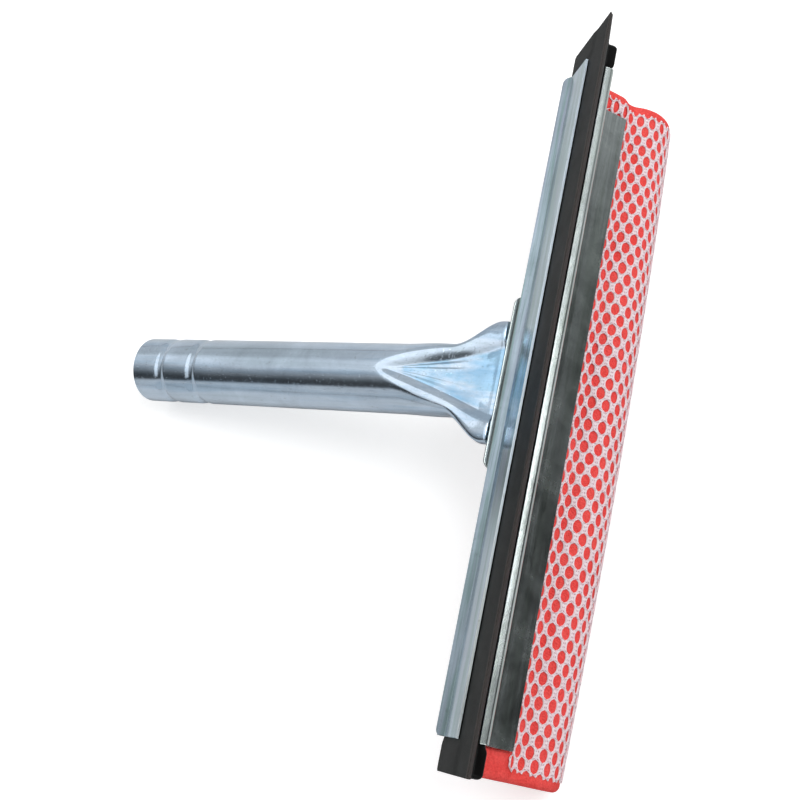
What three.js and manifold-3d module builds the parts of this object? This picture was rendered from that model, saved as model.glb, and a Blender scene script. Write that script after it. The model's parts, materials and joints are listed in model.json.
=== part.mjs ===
// A window squeegee: a steel socket handle with a fishtail end, and a head of folded sheet
// that grips a rubber blade on one side and a netted sponge on the other.
// Millimetres, +Z up. The tool lies as it does on a table, on its sponge and the handle's mouth.

import * as THREE from 'three';
import { mergeVertices } from 'three/addons/utils/BufferGeometryUtils.js';
import Module from 'manifold-3d';

const wasm = await Module();
wasm.setup();

// Clearance between pieces that touch
const CLEARANCE = 0.3;

// Angles from the handle's axis, in degrees
const BLADE_ANGLE = 47.2;
const PLATE_ANGLE = 58.5;

// Sheet metal of the head
const SHEET = 0.9;
const BEND_RADIUS = 1.2;
const HEAD_LENGTH = 234;
const CLAMP_HEIGHT = 17.3;
const FLANGE_WIDTH = 4.2;
const FLANGE_BEND_UP = 3.9;
const FLANGE_FLARE = 31.5;
const WELD_FLANGE_UP = 1.2;
const WALL_DROP = 8.2;
const PLATE_LENGTH = 18.1;
const LOWER_PLATE_END = 15.5;

// Rubber blade, measured up from its base
const RUBBER_LENGTH = 255;
const BLADE_HEIGHT = 32.5;
const HEEL_WIDTH = 8.9;
const HEEL_HEIGHT = 15;
const HEEL_PLAY = 0.6;
const BLADE_ROOT_THICKNESS = 6.6;
const TIP_THICKNESS = 1.4;
const TIP_CHAMFER = 1.5;
const FLEX_AHEAD = 1.6;

// Sponge and its net, along and below the sponge plate
const SPONGE_LENGTH = 254;
const SPONGE_ROOT = 15;
const SPONGE_RADIUS = 13;
const SPONGE_AHEAD = 31.6;
const SPONGE_DROP = 13;
const SPONGE_END_ROUND = 1.5;
const SPONGE_NECK_FRONT = 125;
const SPONGE_NECK_BACK = -145;
const NECK_PULL = 3;
const ROOT_SET = 0.8;
const NET_BARE_END = 7;
const NET_THICKNESS = 0.6;
const NET_GAP = 0.6;
const NET_COLUMNS = 18;
const NET_ROWS = 10;
const NET_HOLE_LENGTH = 0.62;
const NET_HOLE_WIDTH = 0.84;
const HEM_START = 7;

// Handle tube
const TUBE_DIAMETER = 25.4;
const TUBE_WALL = 1.2;
const HANDLE_LENGTH = 158.9;
const HANDLE_OFF_CENTRE = -1.5;
const GROOVES_FROM_MOUTH = [13.5, 29.5];
const GROOVE_WIDTH = 6.2;
const GROOVE_DEPTH = 0.7;
const CREASE_LENGTH = 42;
const CREASE_DEPTH = 3.6;
const CREASE_END_DEPTH = 2;
const CREASE_SINK_RUN = 5;
const CREASE_WALL_SLOPE = 0.66;
const CREASE_RIM = 2.4;
const CREASE_FLOOR_START = 2;
const CREASE_APEX_HALF_WIDTH = 0.4;
const CREASE_FLOOR_SPREAD = 0.2;
const CREASE_FLOOR_CURVE = 0.003;
const FLATTEN_LENGTH = 38;
const FLARE_LENGTH = 19;
const FLARE_END = 3;
const LOBE_HEIGHT = 3.1;
const LOBE_END = 1.2;
const LOBE_ROLL = 0.7;
const TONGUE_WIDTH = 44.2;
const TONGUE_FOLD = 0.2;
const TONGUE_BEND_RADIUS = 5;
const TONGUE_BEND_OUT = 2.4;
const BORE_BEFORE_CREASE = 5.7;

// Anchor plate between the tongue and the head
const ANCHOR_LENGTH = 62.2;
const ANCHOR_THICKNESS = 1.2;
const ANCHOR_OUT = 3.9;
const ANCHOR_CORNER = 3;

// Rivets
const RIVET_FLAT_HEAD = 0.7;
const TONGUE_RIVET = { shank: 4, head: 7.4, dome: 2 };
const TONGUE_RIVET_PITCH = 12;
const TONGUE_RIVET_ACROSS = 3.3;
const CHANNEL_RIVET = { shank: 2.6, head: 4.6, dome: 1.6 };
const CHANNEL_RIVET_FROM_END = 15;
const CHANNEL_RIVET_FROM_ANCHOR = 7;

// Facets
const WALL_STEPS = 10;
const FLOOR_STEPS = 2;
const RING_POINTS = 4 * (WALL_STEPS + FLOOR_STEPS);
const BEND_STEPS = 4;
const ROUND_STEPS = 8;
const WRAP_STEPS = 40;
const SAME_POINT = 0.001;

// Places in the head's section: "across" runs from the clamp's wall to the channel's wall,
// and "up" runs from the rubber's base to its tip.
const radians = THREE.MathUtils.degToRad;
const rubberLeft = CLEARANCE;
const rubberRight = rubberLeft + HEEL_WIDTH;
const channelWall = rubberRight + CLEARANCE + SHEET / 2;
const clampWall = -SHEET / 2;
const lipUp = HEEL_HEIGHT + HEEL_PLAY + SHEET / 2;
const webAcross = channelWall - SHEET - CLEARANCE;
const webLeft = webAcross - SHEET / 2;
const floorTop = -(RIVET_FLAT_HEAD + 2 * CLEARANCE);
const floorUp = floorTop - SHEET / 2;
const anchorTop = floorTop - SHEET - CLEARANCE;
const tongueThickness = 2 * TUBE_WALL + TONGUE_FOLD;
const tongueTop = anchorTop - ANCHOR_THICKNESS - CLEARANCE;
const tongueUp = tongueTop - tongueThickness / 2;
const tongueEnd = webLeft - 3 * CLEARANCE;
const anchorEnd = webLeft - 2 * CLEARANCE;
const plateSlope = radians(BLADE_ANGLE + PLATE_ANGLE - 90);
const netLength = SPONGE_LENGTH - 2 * NET_BARE_END;
const netOffset = NET_GAP + NET_THICKNESS / 2;
const rootTop = -(SHEET / 2 + CLEARANCE + NET_THICKNESS + NET_GAP);
const rootBottom = rootTop - SPONGE_ROOT;
const plateSpacing = SPONGE_ROOT - 2 * rootTop;

// A point along the sponge plate and above it, as across and up
function onPlate(along, above) {
  return new THREE.Vector2(
    channelWall + along * Math.cos(plateSlope) + above * Math.sin(plateSlope),
    -WALL_DROP - along * Math.sin(plateSlope) + above * Math.cos(plateSlope)
  );
}

// How far along the plate a given place across lies, at a height above the plate
function alongPlateAt(across, above) {
  return (across - channelWall - above * Math.sin(plateSlope)) / Math.cos(plateSlope);
}

// Solids for cutting
function toSolid(geometry) {
  const bare = geometry.clone();
  bare.deleteAttribute('normal');
  bare.deleteAttribute('uv');
  const merged = mergeVertices(bare, SAME_POINT / 10);
  return new wasm.Manifold(new wasm.Mesh({
    numProp: 3,
    vertProperties: merged.attributes.position.array,
    triVerts: new Uint32Array(merged.index.array)
  }));
}

function toGeometry(solid) {
  const mesh = solid.getMesh();
  return meshGeometry(Array.from(mesh.vertProperties), Array.from(mesh.triVerts));
}

function meshGeometry(positions, indices) {
  const geometry = new THREE.BufferGeometry();
  geometry.setAttribute('position', new THREE.Float32BufferAttribute(positions, 3));
  geometry.setIndex(indices);
  geometry.computeVertexNormals();
  return geometry;
}

function cut(geometry, tools) {
  let solid = toSolid(geometry);
  for (const tool of tools) {
    solid = solid.subtract(toSolid(tool));
  }
  return toGeometry(solid);
}

// A section drawn in across and up, extruded along the head and centred on it
const sectionToHead = new THREE.Matrix4().makeBasis(
  new THREE.Vector3(0, 1, 0),
  new THREE.Vector3(0, 0, 1),
  new THREE.Vector3(1, 0, 0)
);

function alongHead(shape, length, endRound = 0) {
  const geometry = new THREE.ExtrudeGeometry(shape, {
    depth: length - 2 * endRound,
    bevelEnabled: endRound > 0,
    bevelThickness: endRound,
    bevelSize: endRound,
    bevelOffset: -endRound,
    bevelSegments: 2,
    curveSegments: ROUND_STEPS
  });
  geometry.translate(0, 0, endRound - length / 2);
  return geometry.applyMatrix4(sectionToHead);
}

// The outline of a sheet bent along a line of points, rounded at each bend
const origin2 = new THREE.Vector2();

function bentSheet(points) {
  const front = [];
  const back = [];
  const addPair = (point, direction) => {
    const normal = new THREE.Vector2(-direction.y, direction.x).multiplyScalar(SHEET / 2);
    front.push(point.clone().add(normal));
    back.unshift(point.clone().sub(normal));
  };
  const directions = points.slice(1).map((point, i) => point.clone().sub(points[i]).normalize());
  addPair(points[0], directions[0]);
  for (let i = 1; i < points.length - 1; i++) {
    const before = directions[i - 1];
    const turn = Math.atan2(before.cross(directions[i]), before.dot(directions[i]));
    const start = points[i].clone().addScaledVector(before, -BEND_RADIUS * Math.tan(Math.abs(turn) / 2));
    const side = new THREE.Vector2(-before.y, before.x).multiplyScalar(Math.sign(turn) * BEND_RADIUS);
    const centre = start.clone().add(side);
    for (let step = 0; step <= BEND_STEPS; step++) {
      const angle = turn * step / BEND_STEPS;
      addPair(start.clone().rotateAround(centre, angle), before.clone().rotateAround(origin2, angle));
    }
  }
  addPair(points[points.length - 1], directions[directions.length - 1]);
  return new THREE.Shape([...front, ...back]);
}

// A straight hole through the head, for a rivet
function rivetHole(shank, from, to, direction, along, place) {
  const hole = new THREE.CylinderGeometry(shank / 2 + CLEARANCE, shank / 2 + CLEARANCE, to - from, 16);
  hole.translate(0, (from + to) / 2, 0);
  if (direction === 'up') {
    hole.rotateX(Math.PI / 2);
    hole.translate(along, place, 0);
  } else {
    hole.translate(along, 0, place);
  }
  return hole;
}

const tongueRivetsAlong = [-1, 0, 1].map((step) => HANDLE_OFF_CENTRE + step * TONGUE_RIVET_PITCH);
const outerRivet = HEAD_LENGTH / 2 - CHANNEL_RIVET_FROM_END;
const innerRivet = ANCHOR_LENGTH / 2 + CHANNEL_RIVET_FROM_ANCHOR;
const channelRivetsAlong = [-outerRivet, -innerRivet, innerRivet, outerRivet];
const channelRivetUp = (floorUp - WALL_DROP) / 2;
const tongueHoles = tongueRivetsAlong.map((along) => rivetHole(
  TONGUE_RIVET.shank, tongueTop - 2 * tongueThickness, floorTop + SHEET, 'up', along, TONGUE_RIVET_ACROSS
));
const channelHoles = channelRivetsAlong.map((along) => rivetHole(
  CHANNEL_RIVET.shank, webLeft - SHEET, channelWall + 2 * SHEET, 'across', along, channelRivetUp
));

// Front clamp: a wall along the rubber and a flared flange over the tongue
function frontClamp() {
  const flare = radians(FLANGE_FLARE);
  const bend = new THREE.Vector2(clampWall, FLANGE_BEND_UP);
  const outward = new THREE.Vector2(-Math.sin(flare), -Math.cos(flare));
  const edge = bend.clone().addScaledVector(outward, FLANGE_WIDTH);
  return alongHead(bentSheet([new THREE.Vector2(clampWall, CLAMP_HEIGHT), bend, edge]), HEAD_LENGTH);
}

// Blade channel: a lip over the rubber's heel, a wall and the front sponge plate
function bladeThickness(up) {
  const share = (up - HEEL_HEIGHT) / (BLADE_HEIGHT - TIP_CHAMFER - HEEL_HEIGHT);
  return THREE.MathUtils.lerp(BLADE_ROOT_THICKNESS, TIP_THICKNESS, share);
}

function bladeChannel() {
  const lipEdge = rubberLeft + bladeThickness(lipUp - SHEET / 2) + CLEARANCE;
  const sheet = bentSheet([
    new THREE.Vector2(lipEdge, lipUp),
    new THREE.Vector2(channelWall, lipUp),
    onPlate(0, 0),
    onPlate(PLATE_LENGTH, 0)
  ]);
  return cut(alongHead(sheet, HEAD_LENGTH), channelHoles);
}

// Back plate: a weld flange inside the clamp, the channel's floor, a web and the rear sponge plate
function backPlate() {
  const flare = radians(FLANGE_FLARE);
  const inset = (SHEET + CLEARANCE) / Math.cos(flare);
  const flangeAcross = (up) => clampWall + inset - (FLANGE_BEND_UP - up) * Math.tan(flare);
  const webEnd = alongPlateAt(webAcross, -plateSpacing);
  const sheet = bentSheet([
    new THREE.Vector2(flangeAcross(WELD_FLANGE_UP), WELD_FLANGE_UP),
    new THREE.Vector2(flangeAcross(floorUp), floorUp),
    new THREE.Vector2(webAcross, floorUp),
    onPlate(webEnd, -plateSpacing),
    onPlate(LOWER_PLATE_END, -plateSpacing)
  ]);
  return cut(alongHead(sheet, HEAD_LENGTH), [...tongueHoles, ...channelHoles]);
}

// Rubber blade: the root and heel sit in the channel, and the free lip turns about the flex line
const flexUp = CLAMP_HEIGHT + FLEX_AHEAD;
const bladeTaper = Math.atan(
  (BLADE_ROOT_THICKNESS - TIP_THICKNESS) / (BLADE_HEIGHT - TIP_CHAMFER - HEEL_HEIGHT)
);
const lipBaseRadius = bladeThickness(flexUp) * Math.cos(bladeTaper) / (1 + Math.cos(bladeTaper));
const flexAcross = rubberLeft + lipBaseRadius;

function bladeRoot() {
  const seatRadius = lipBaseRadius + CLEARANCE;
  const seatEdge = Math.acos(lipBaseRadius / seatRadius);
  const seatRight = flexAcross + seatRadius * Math.cos(seatEdge);
  const shape = new THREE.Shape();
  shape.moveTo(rubberLeft, 0);
  shape.lineTo(rubberRight, 0);
  shape.lineTo(rubberRight, HEEL_HEIGHT);
  shape.lineTo(rubberLeft + BLADE_ROOT_THICKNESS, HEEL_HEIGHT);
  shape.lineTo(seatRight, flexUp - seatRadius * Math.sin(seatEdge));
  shape.absarc(flexAcross, flexUp, seatRadius, -seatEdge, seatEdge - Math.PI, true);
  return alongHead(shape, RUBBER_LENGTH);
}

function bladeLip() {
  const shape = new THREE.Shape();
  shape.moveTo(rubberLeft, BLADE_HEIGHT);
  shape.lineTo(rubberLeft, flexUp);
  shape.absarc(flexAcross, flexUp, lipBaseRadius, Math.PI, 2 * Math.PI + bladeTaper, false);
  shape.lineTo(rubberLeft + TIP_THICKNESS, BLADE_HEIGHT - TIP_CHAMFER);
  return alongHead(shape, RUBBER_LENGTH);
}

// The sponge's surface under the net, from the front plate round the nose to the rear plate
function spongeWrap() {
  const centre = new THREE.Vector2(SPONGE_AHEAD, -SPONGE_DROP);
  const front = radians(SPONGE_NECK_FRONT);
  const back = radians(SPONGE_NECK_BACK);
  const onNose = (angle) => centre.clone().add(
    new THREE.Vector2(Math.cos(angle), Math.sin(angle)).multiplyScalar(SPONGE_RADIUS)
  );
  const heading = (angle) => new THREE.Vector2(Math.sin(angle), -Math.cos(angle)).multiplyScalar(NECK_PULL);
  const frontEdge = PLATE_LENGTH - NECK_PULL;
  const backEdge = LOWER_PLATE_END + CLEARANCE;
  const noseStart = onNose(front);
  const noseEnd = onNose(back);
  const beforeNose = noseStart.clone().sub(heading(front));
  const afterNose = noseEnd.clone().add(heading(back));
  const path = new THREE.Path();
  path.moveTo(HEM_START, rootTop);
  path.lineTo(frontEdge, rootTop);
  path.bezierCurveTo(frontEdge + NECK_PULL, rootTop, beforeNose.x, beforeNose.y, noseStart.x, noseStart.y);
  path.absarc(centre.x, centre.y, SPONGE_RADIUS, front, back, true);
  path.bezierCurveTo(afterNose.x, afterNose.y, backEdge + NECK_PULL, rootBottom, backEdge, rootBottom);
  path.lineTo(HEM_START, rootBottom);
  return path;
}
const wrap = spongeWrap();
const wrapLength = wrap.getLength();
const frontHem = PLATE_LENGTH - NECK_PULL - HEM_START;
const backHem = LOWER_PLATE_END + CLEARANCE - HEM_START;

function sponge() {
  const rootAcross = webAcross + SHEET / 2 + CLEARANCE + ROOT_SET;
  const surface = wrap.getSpacedPoints(WRAP_STEPS).map((point) => onPlate(point.x, point.y));
  const shape = new THREE.Shape([
    onPlate(alongPlateAt(rootAcross, rootTop), rootTop),
    ...surface,
    onPlate(alongPlateAt(rootAcross, rootBottom), rootBottom)
  ]);
  return alongHead(shape, SPONGE_LENGTH, SPONGE_END_ROUND);
}

// Net: staggered openings between two plain hems, laid flat first and then wrapped
function flatNet() {
  const pitch = netLength / NET_COLUMNS;
  const row = (wrapLength - frontHem - backHem) / (NET_ROWS + 1);
  const points = [];
  const triangles = [];
  const seen = new Map();
  const corner = (along, round) => {
    const key = `${Math.round(along / SAME_POINT)} ${Math.round(round / SAME_POINT)}`;
    if (!seen.has(key)) {
      seen.set(key, points.push([along, round]) - 1);
    }
    return seen.get(key);
  };
  const cellCentre = (column, line) => [
    (column + 0.5 + (line % 2) / 2) * pitch - netLength / 2,
    frontHem + (line + 1) * row
  ];
  const columnsIn = (line) => NET_COLUMNS - (line % 2);
  const addCell = (along, round) => {
    const halfLength = NET_HOLE_LENGTH * pitch / 2;
    const halfWidth = NET_HOLE_WIDTH * row / 2;
    const left = corner(along - pitch / 2, round);
    const right = corner(along + pitch / 2, round);
    const low = corner(along, round - row);
    const high = corner(along, round + row);
    const hole = [
      [-1, 0], [-0.45, -1], [0.45, -1], [1, 0], [0.45, 1], [-0.45, 1]
    ].map(([x, y]) => corner(along + x * halfLength, round + y * halfWidth));
    triangles.push(
      [left, low, hole[1]], [left, hole[1], hole[0]], [low, hole[2], hole[1]], [low, right, hole[2]],
      [right, hole[3], hole[2]], [right, high, hole[4]], [right, hole[4], hole[3]],
      [high, hole[5], hole[4]], [high, left, hole[5]], [left, hole[0], hole[5]]
    );
  };
  const addHem = (line, tipSide, hemEdge) => {
    for (let column = 0; column < columnsIn(line) - 1; column++) {
      const [along, round] = cellCentre(column, line);
      const tip = corner(along, round + tipSide * row);
      const nextTip = corner(along + pitch, round + tipSide * row);
      const notch = corner(along + pitch / 2, round);
      const edge = corner(along, hemEdge);
      const nextEdge = corner(along + pitch, hemEdge);
      const strip = [[tip, nextTip, notch], [edge, nextEdge, nextTip], [edge, nextTip, tip]];
      triangles.push(...strip.map((triangle) => (tipSide < 0 ? triangle : triangle.reverse())));
    }
  };
  for (let line = 0; line < NET_ROWS; line++) {
    for (let column = 0; column < columnsIn(line); column++) {
      addCell(...cellCentre(column, line));
    }
  }
  addHem(0, -1, 0);
  addHem(NET_ROWS - 1, 1, wrapLength);
  return { points, triangles };
}

// A flat sheet of triangles given a thickness and wrapped round the sponge
function netCover() {
  const { points, triangles } = flatNet();
  const positions = [];
  for (const side of [0.5, -0.5]) {
    for (const [along, round] of points) {
      const share = THREE.MathUtils.clamp(round / wrapLength, 0, 1);
      const point = wrap.getPointAt(share);
      const tangent = wrap.getTangentAt(share);
      const away = netOffset + side * NET_THICKNESS;
      const place = onPlate(point.x - tangent.y * away, point.y + tangent.x * away);
      positions.push(along, place.x, place.y);
    }
  }
  const inner = points.length;
  const edges = new Map();
  const indices = [];
  for (const [a, b, c] of triangles) {
    indices.push(a, b, c, inner + c, inner + b, inner + a);
    for (const [from, to] of [[a, b], [b, c], [c, a]]) {
      edges.set(`${from} ${to}`, [from, to]);
    }
  }
  for (const [from, to] of edges.values()) {
    if (!edges.has(`${to} ${from}`)) {
      indices.push(to, from, inner + from, to, inner + from, inner + to);
    }
  }
  return meshGeometry(positions, indices);
}

// Handle tube: its centre line runs straight to the tongue's bend and then turns into the head
const tongueTurn = radians(90 - BLADE_ANGLE);
const bendReach = TONGUE_BEND_RADIUS * Math.tan(tongueTurn / 2);
const bendLength = TONGUE_BEND_RADIUS * tongueTurn;
const tongueRun = TONGUE_BEND_OUT + tongueEnd - bendReach;

function centreLine(distance) {
  const turned = THREE.MathUtils.clamp((distance + bendReach) / TONGUE_BEND_RADIUS, 0, tongueTurn);
  const straight = Math.max(0, distance + bendReach - bendLength);
  const toBend = Math.min(distance, -bendReach);
  return {
    ahead: toBend + TONGUE_BEND_RADIUS * Math.sin(turned) + straight * Math.cos(turned),
    above: -TONGUE_BEND_RADIUS * (1 - Math.cos(turned)) - straight * Math.sin(turned),
    turned
  };
}

function ease(from, to, value) {
  return THREE.MathUtils.smoothstep(value, from, to);
}

function grooveDepthAt(distance) {
  let depth = 0;
  for (const fromMouth of GROOVES_FROM_MOUTH) {
    const offset = Math.abs(distance + HANDLE_LENGTH - fromMouth) / (GROOVE_WIDTH / 2);
    depth += offset < 1 ? GROOVE_DEPTH * (1 + Math.cos(Math.PI * offset)) / 2 : 0;
  }
  return depth;
}

// Half the width of the crease's floor, which spreads from its apex
function creaseFloorHalf(distance) {
  const run = Math.max(0, Math.min(distance, -bendReach) + CREASE_LENGTH - CREASE_FLOOR_START);
  return CREASE_APEX_HALF_WIDTH + CREASE_FLOOR_SPREAD * run + CREASE_FLOOR_CURVE * run * run;
}

// How far the crease's floor lies under the tube's crown, and above it before the crease starts
function creaseDepth(distance) {
  const run = distance + CREASE_LENGTH;
  if (run < 0) {
    return CREASE_DEPTH * run / CREASE_SINK_RUN;
  }
  const shallower = ease(-CREASE_LENGTH, -FLARE_END, distance);
  const depth = THREE.MathUtils.lerp(CREASE_DEPTH, CREASE_END_DEPTH, shallower);
  return depth * (1 - Math.exp(-run / CREASE_SINK_RUN));
}

// The lower of two heights, rounded over where they cross
function lowerOf(first, second, roundOver) {
  const near = Math.max(0, roundOver - Math.abs(first - second));
  return Math.min(first, second) - (near > 0 ? near * near / (4 * roundOver) : 0);
}

// Places across a ring's upper side, from edge to edge, close together at the tube's edges
function upperSides(halfWidth, floorHalf) {
  const sides = [];
  for (let step = 0; step < WALL_STEPS; step++) {
    sides.push(THREE.MathUtils.lerp(halfWidth, floorHalf, 1 - Math.cos(Math.PI / 2 * step / WALL_STEPS)));
  }
  for (let step = 0; step < FLOOR_STEPS; step++) {
    sides.push(THREE.MathUtils.lerp(floorHalf, 0, step / FLOOR_STEPS));
  }
  return [...sides, 0, ...sides.map((side) => -side).reverse()];
}

// One ring of the tube's skin. Past the crease's apex its top is pressed in as its height falls.
function tubeRing(distance, inset) {
  const radius = TUBE_DIAMETER / 2 - grooveDepthAt(distance);
  const flat = tongueThickness / 2;
  const flatness = ease(-FLATTEN_LENGTH, -FLARE_END, distance);
  const flared = ease(-FLARE_LENGTH, -FLARE_END, distance);
  const rolled = ease(-LOBE_END, LOBE_ROLL - LOBE_END, distance);
  const halfWidth = THREE.MathUtils.lerp(radius, TONGUE_WIDTH / 2, flared) - inset;
  const lobe = THREE.MathUtils.lerp(radius, LOBE_HEIGHT, flatness);
  const halfHeight = THREE.MathUtils.lerp(lobe, flat, rolled) - inset;
  const squareness = THREE.MathUtils.lerp(2, 5, flatness);
  const crown = halfHeight + inset;
  const floor = Math.max(flat, crown - creaseDepth(distance));
  const floorHalf = creaseFloorHalf(distance);
  const roundOver = CREASE_RIM * THREE.MathUtils.clamp((crown - flat) / CREASE_END_DEPTH, 0, 1);
  const outline = upperSides(halfWidth, floorHalf).map((side) => {
    const share = Math.min(1, Math.abs(side) / halfWidth);
    const round = halfHeight * (1 - share ** squareness) ** (1 / squareness);
    const trough = floor + CREASE_WALL_SLOPE * Math.max(0, Math.abs(side) - floorHalf);
    return [side, lowerOf(round, trough, roundOver)];
  });
  for (let i = outline.length; i < RING_POINTS; i++) {
    const angle = 2 * Math.PI * i / RING_POINTS;
    const cosine = Math.cos(angle);
    const side = Math.sign(cosine) * Math.abs(cosine) ** (2 / squareness) * halfWidth;
    outline.push([side, -(Math.abs(Math.sin(angle)) ** (2 / squareness)) * halfHeight]);
  }
  const line = centreLine(distance);
  return outline.map(([side, height]) => [
    HANDLE_OFF_CENTRE + side,
    line.ahead + height * Math.sin(line.turned),
    line.above + height * Math.cos(line.turned)
  ]);
}

function distances() {
  const places = [-HANDLE_LENGTH];
  for (const fromMouth of GROOVES_FROM_MOUTH) {
    for (const offset of [-0.5, -0.25, 0, 0.25, 0.5]) {
      places.push(fromMouth - HANDLE_LENGTH + offset * GROOVE_WIDTH);
    }
  }
  const creaseSteps = 20;
  for (let step = 0; step <= creaseSteps; step++) {
    places.push(THREE.MathUtils.lerp(-CREASE_LENGTH - BORE_BEFORE_CREASE, -bendReach, step / creaseSteps));
  }
  places.push(-LOBE_END, LOBE_ROLL / 2 - LOBE_END, LOBE_ROLL - LOBE_END);
  for (let step = 2; step <= BEND_STEPS; step++) {
    places.push(-bendReach + bendLength * step / BEND_STEPS);
  }
  places.push(-bendReach + bendLength + tongueRun);
  return places;
}

function handleSocket() {
  const boreEnd = -CREASE_LENGTH - BORE_BEFORE_CREASE;
  const outerPlaces = distances();
  const borePlaces = [...outerPlaces.filter((place) => place < boreEnd), boreEnd];
  const rings = [
    ...borePlaces.reverse().map((place) => tubeRing(place, TUBE_WALL)),
    ...outerPlaces.map((place) => tubeRing(place, 0))
  ];
  const positions = rings.flat(2);
  const indices = [];
  for (let r = 0; r < rings.length - 1; r++) {
    for (let i = 0; i < RING_POINTS; i++) {
      const next = (i + 1) % RING_POINTS;
      const a = r * RING_POINTS + i;
      const b = r * RING_POINTS + next;
      const c = b + RING_POINTS;
      const d = a + RING_POINTS;
      indices.push(a, c, b, a, d, c);
    }
  }
  const addCap = (ringIndex, flip) => {
    const first = ringIndex * RING_POINTS;
    const half = RING_POINTS / 2;
    for (let i = 0; i < half; i++) {
      const top = first + i;
      const topNext = first + i + 1;
      const low = first + (RING_POINTS - i) % RING_POINTS;
      const lowNext = first + RING_POINTS - i - 1;
      const faces = [];
      if (i > 0) {
        faces.push([top, topNext, low]);
      }
      if (i < half - 1) {
        faces.push([topNext, lowNext, low]);
      }
      for (const face of faces) {
        indices.push(...(flip ? face.reverse() : face));
      }
    }
  };
  addCap(0, false);
  addCap(rings.length - 1, true);
  return meshGeometry(positions, indices);
}

// Anchor plate: a rounded plate with the tongue's rivet holes
function anchorPlate() {
  const half = ANCHOR_LENGTH / 2;
  const cornerAlong = half - ANCHOR_CORNER;
  const cornerAcross = ANCHOR_CORNER - ANCHOR_OUT;
  const shape = new THREE.Shape();
  shape.moveTo(-half, anchorEnd);
  shape.lineTo(-half, cornerAcross);
  shape.absarc(-cornerAlong, cornerAcross, ANCHOR_CORNER, Math.PI, 1.5 * Math.PI, false);
  shape.absarc(cornerAlong, cornerAcross, ANCHOR_CORNER, 1.5 * Math.PI, 2 * Math.PI, false);
  shape.lineTo(half, anchorEnd);
  const plate = new THREE.ExtrudeGeometry(shape, {
    depth: ANCHOR_THICKNESS,
    bevelEnabled: false,
    curveSegments: ROUND_STEPS
  });
  plate.translate(HANDLE_OFF_CENTRE, 0, anchorTop - ANCHOR_THICKNESS);
  return cut(plate, tongueHoles);
}

// A rivet along +Y: a flat head, a shank and a domed head
function rivet(size, from, to) {
  const flat = from - CLEARANCE;
  const dome = to + CLEARANCE;
  const profile = [
    new THREE.Vector2(0, flat - RIVET_FLAT_HEAD),
    new THREE.Vector2(size.head / 2, flat - RIVET_FLAT_HEAD),
    new THREE.Vector2(size.head / 2, flat),
    new THREE.Vector2(size.shank / 2, flat),
    new THREE.Vector2(size.shank / 2, dome)
  ];
  const domeSteps = 3;
  for (let step = 0; step < domeSteps; step++) {
    const angle = Math.PI / 2 * step / domeSteps;
    profile.push(new THREE.Vector2(size.head / 2 * Math.cos(angle), dome + size.dome * Math.sin(angle)));
  }
  profile.push(new THREE.Vector2(0, dome + size.dome));
  return new THREE.LatheGeometry(profile, 16);
}

// Materials
function zinc(colour) {
  return new THREE.MeshStandardMaterial({ color: colour, roughness: 0.28, metalness: 1 });
}

function soft(colour, roughness) {
  return new THREE.MeshStandardMaterial({ color: colour, roughness, metalness: 0 });
}

function addMesh(group, name, geometry, material) {
  const mesh = new THREE.Mesh(geometry, material);
  mesh.name = name;
  group.add(mesh);
  return mesh;
}

// The tool's own frame: +Y along the handle's axis from its mouth, with its origin at the tongue's bend
const blade = radians(BLADE_ANGLE);
const head = new THREE.Group();
head.rotation.x = blade - Math.PI / 2;
head.position.set(
  0,
  TONGUE_BEND_OUT * Math.sin(blade) - tongueUp * Math.cos(blade),
  -TONGUE_BEND_OUT * Math.cos(blade) - tongueUp * Math.sin(blade)
);

addMesh(head, 'front_clamp', frontClamp(), zinc(0xb9c6d4));
addMesh(head, 'blade_channel', bladeChannel(), zinc(0xaab6b8));
addMesh(head, 'back_plate', backPlate(), zinc(0xb2bcc4));
addMesh(head, 'anchor_plate', anchorPlate(), zinc(0xb8c4cc));
addMesh(head, 'blade_root', bladeRoot(), soft(0x2c2d2e, 0.6));
addMesh(head, 'blade_lip', bladeLip(), soft(0x3a3c3c, 0.6));
addMesh(head, 'sponge', sponge(), soft(0xe25546, 0.95));
addMesh(head, 'net_cover', netCover(), soft(0xf0dde4, 0.8));

const tongueBottom = tongueTop - tongueThickness;
tongueRivetsAlong.forEach((along, i) => {
  const geometry = rivet(TONGUE_RIVET, -floorTop, -tongueBottom);
  const mesh = addMesh(head, `tongue_rivet_${i + 1}`, geometry, zinc(0xc4ccd4));
  mesh.rotation.x = -Math.PI / 2;
  mesh.position.set(along, TONGUE_RIVET_ACROSS, 0);
});

channelRivetsAlong.forEach((along, i) => {
  const geometry = rivet(CHANNEL_RIVET, webLeft, channelWall + SHEET / 2);
  const mesh = addMesh(head, `channel_rivet_${i + 1}`, geometry, zinc(0xc4ccd4));
  mesh.position.set(along, 0, channelRivetUp);
});

const tool = new THREE.Group();
tool.add(head);
head.updateMatrix();
const holesInTool = tongueHoles.map((hole) => hole.clone().applyMatrix4(head.matrix));
addMesh(tool, 'handle_socket', cut(handleSocket(), holesInTool), zinc(0xb4c4d2));

// The tilt at which the net and the mouth's rim touch one table
const nose = onPlate(SPONGE_AHEAD, -SPONGE_DROP);
const noseInTool = new THREE.Vector3(0, nose.x, nose.y).applyEuler(head.rotation).add(head.position);
const noseRadius = SPONGE_RADIUS + NET_GAP + NET_THICKNESS;
const spanAhead = noseInTool.y + HANDLE_LENGTH;
const spanAbove = noseInTool.z + TUBE_DIAMETER / 2;
const spanSlope = Math.atan2(spanAbove, spanAhead);
tool.rotation.x = Math.asin(noseRadius / Math.hypot(spanAhead, spanAbove)) - spanSlope;

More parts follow.
